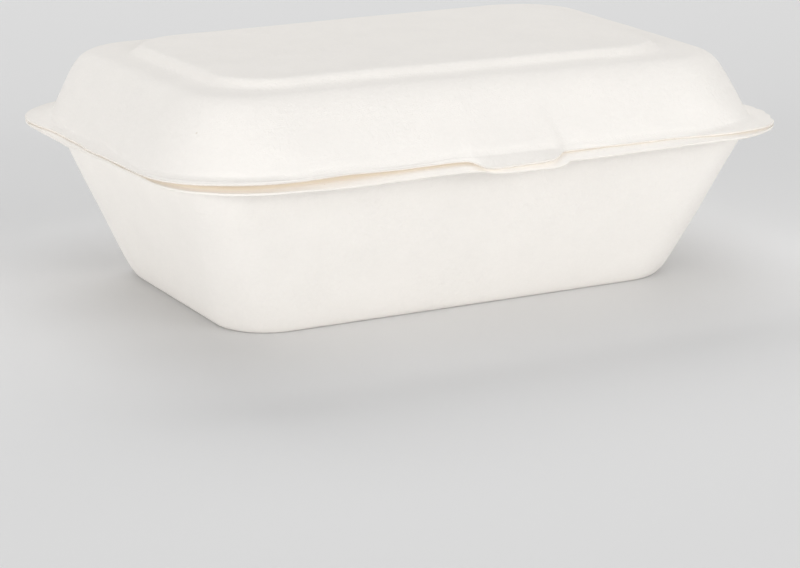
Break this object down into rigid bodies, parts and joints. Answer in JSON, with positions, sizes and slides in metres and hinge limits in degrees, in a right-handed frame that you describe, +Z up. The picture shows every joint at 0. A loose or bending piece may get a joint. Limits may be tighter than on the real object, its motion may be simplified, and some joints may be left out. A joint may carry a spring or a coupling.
{
  "type": "bagasse clamshell container",
  "caption": "Closed rectangular food container of moulded sugarcane fibre: a deep drafted tray and a domed lid with flat rims, hinged along one long side, with a tuck tongue over a small tab on the other.",
  "frame": {"origin": "centre of the tray's flat resting face, on the surface it stands on", "axes": "+X along the long sides, +Z up, -Y towards the tuck tongue at the front, +Y towards the hinge"},
  "size_m": [0.182, 0.1384, 0.0649],
  "materials": {
    "pulp": "matte bleached sugarcane pulp with a fine screen texture"
  },
  "bodies": {
    "tray": {"base_tray": "pulp", "hinge_fold": "pulp"},
    "cover": {"lid": "pulp"}
  },
  "joints": [
    {"name": "lid_hinge", "type": "hinge", "parent": "tray", "child": "cover", "pos_m": [0, 0.0669, 0.04346], "axis": [-1, 0, 0], "range_deg": [0, 180], "deforming": ["hinge_fold"]}
  ]
}
